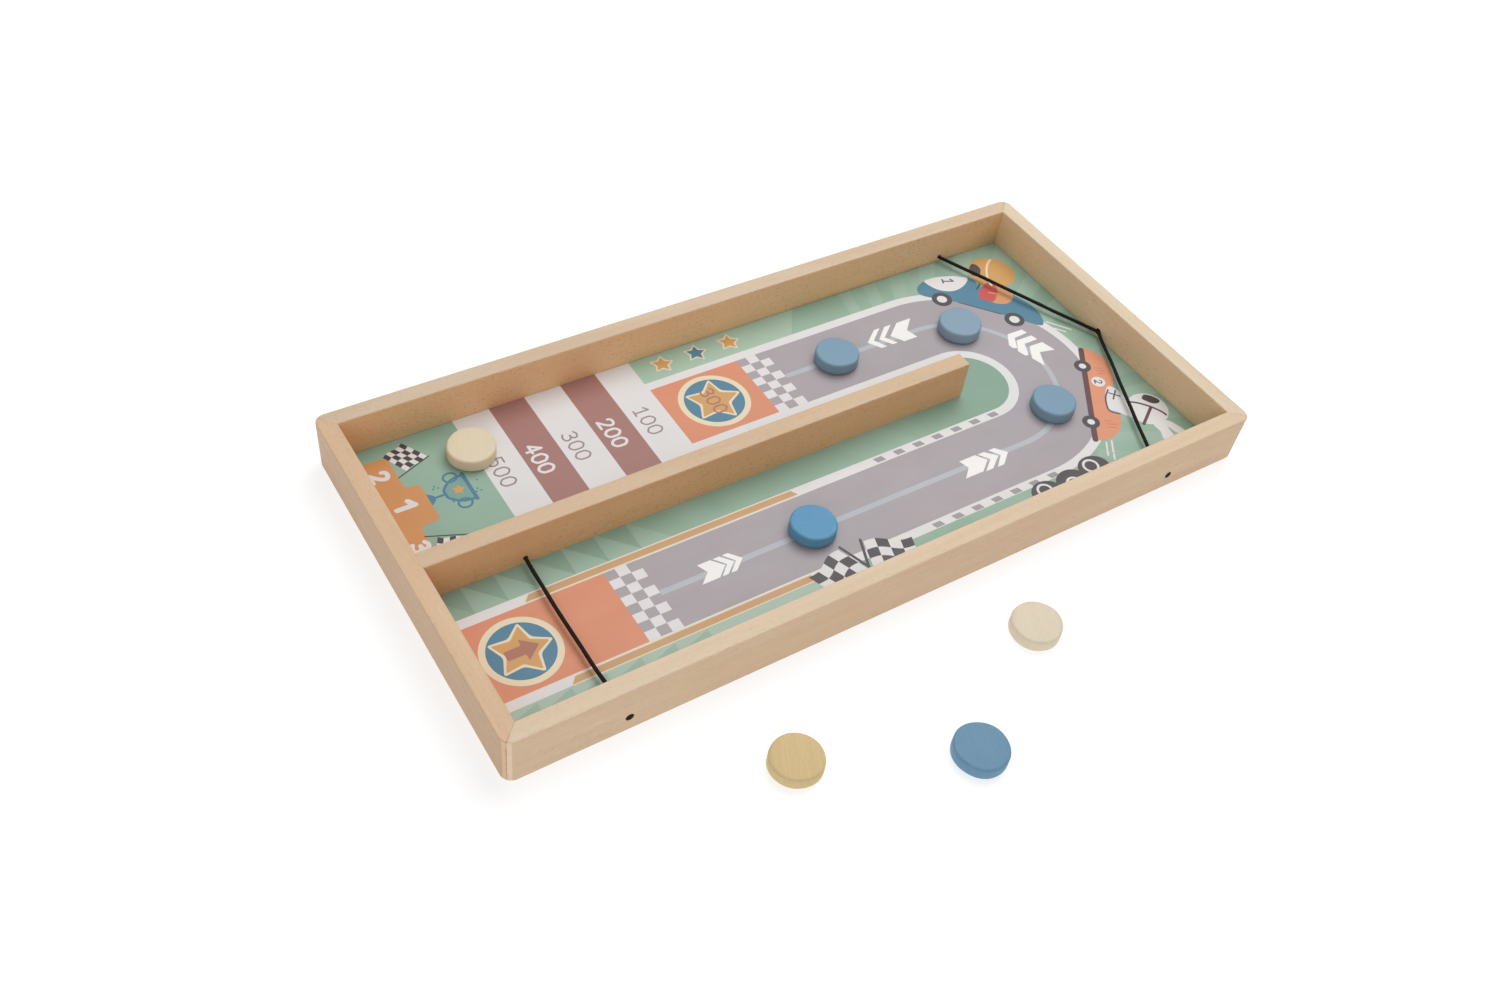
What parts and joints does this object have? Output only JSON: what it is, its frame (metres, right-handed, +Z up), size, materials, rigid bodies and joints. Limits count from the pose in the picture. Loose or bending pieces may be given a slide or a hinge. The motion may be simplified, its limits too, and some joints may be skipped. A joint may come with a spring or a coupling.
{
  "type": "tabletop shuffleboard",
  "caption": "Shallow wooden tabletop shuffleboard tray with a U-shaped printed lane, centre divider, launching elastic, rebound elastic and wooden pucks.",
  "frame": {"origin": "on the surface the tray stands on, under the middle of the whole set with its loose pucks", "axes": "+X along the tray from the launching and scoring end to the turn, +Y across it from the launch lane to the scoring lane, +Z up"},
  "size_m": [0.6, 0.4242, 0.04],
  "materials": {
    "beech": "satin",
    "dowel_beech": "satin",
    "panel_plywood": "matt",
    "playfield_print": "satin",
    "elastic_cord": "matt",
    "hardware_steel": "satin",
    "blue_painted_wood": "satin",
    "natural_wood": "satin"
  },
  "bodies": {
    "board": {"front_rail": "beech", "back_rail": "beech", "left_rail": "beech", "right_rail": "beech", "corner_nail_front_left": "hardware_steel", "corner_nail_front_right": "hardware_steel", "corner_nail_back_left": "hardware_steel", "corner_nail_back_right": "hardware_steel", "centre_divider": "beech", "base_panel": "panel_plywood", "printed_playfield": "playfield_print", "divider_dowel_1": "dowel_beech", "divider_dowel_2": "dowel_beech", "divider_screw_1": "hardware_steel", "divider_screw_2": "hardware_steel", "divider_screw_3": "hardware_steel", "launch_elastic_front_end": "elastic_cord", "launch_elastic_divider_end": "elastic_cord", "far_elastic_back_end": "elastic_cord", "far_elastic_front_end": "elastic_cord", "far_elastic_middle": "elastic_cord"},
    "launch_elastic": {"launch_elastic_span": "elastic_cord"},
    "far_elastic_back": {"far_elastic_back_span": "elastic_cord"},
    "far_elastic_front": {"far_elastic_front_span": "elastic_cord"},
    "puck_lane": {"blue_puck_lane": "blue_painted_wood"},
    "puck_turn": {"blue_puck_turn": "blue_painted_wood"},
    "puck_exit": {"blue_puck_exit": "blue_painted_wood"},
    "puck_return": {"blue_puck_return": "blue_painted_wood"},
    "puck_scored": {"natural_puck_scored": "natural_wood"},
    "puck_loose_1": {"natural_puck_loose_1": "natural_wood"},
    "puck_loose_2": {"natural_puck_loose_2": "natural_wood"},
    "puck_loose_3": {"blue_puck_loose": "blue_painted_wood"}
  },
  "joints": [
    {"name": "launch_elastic_draw", "type": "slide", "parent": "board", "child": "launch_elastic", "axis": [-1, 0, 0], "range_m": [0, 0.045], "stiffness_N_per_m": 60, "deforming": ["launch_elastic_span"]},
    {"name": "far_elastic_back_stretch", "type": "slide", "parent": "board", "child": "far_elastic_back", "axis": [0.9073, 0.4205, 0], "range_m": [0, 0.01], "stiffness_N_per_m": 120, "deforming": ["far_elastic_back_span"]},
    {"name": "far_elastic_front_stretch", "type": "slide", "parent": "board", "child": "far_elastic_front", "axis": [0.9073, -0.4205, 0], "range_m": [0, 0.01], "stiffness_N_per_m": 120, "deforming": ["far_elastic_front_span"]},
    {"name": "lane_puck_slide", "type": "slide", "parent": "board", "child": "puck_lane", "axis": [1, 0, 0], "range_m": [-0.163, 0.2]},
    {"name": "turn_puck_slide", "type": "slide", "parent": "board", "child": "puck_turn", "axis": [0, 1, 0], "range_m": [-0.063, 0.066]},
    {"name": "exit_puck_slide", "type": "slide", "parent": "board", "child": "puck_exit", "axis": [1, 0, 0], "range_m": [-0.076, 0.05]},
    {"name": "return_puck_slide", "type": "slide", "parent": "board", "child": "puck_return", "axis": [1, 0, 0], "range_m": [-0.266, 0.076]},
    {"name": "scored_puck_slide", "type": "slide", "parent": "board", "child": "puck_scored", "axis": [1, 0, 0], "range_m": [-0.06, 0.266]},
    {"name": "loose_puck_1_slide", "type": "slide", "parent": "board", "child": "puck_loose_1", "axis": [1, 0, 0], "range_m": [-0.04, 0.1]},
    {"name": "loose_puck_2_slide", "type": "slide", "parent": "board", "child": "puck_loose_2", "axis": [1, 0, 0], "range_m": [-0.1, 0.06]},
    {"name": "loose_puck_3_slide", "type": "slide", "parent": "board", "child": "puck_loose_3", "axis": [1, 0, 0], "range_m": [-0.06, 0.06]}
  ]
}
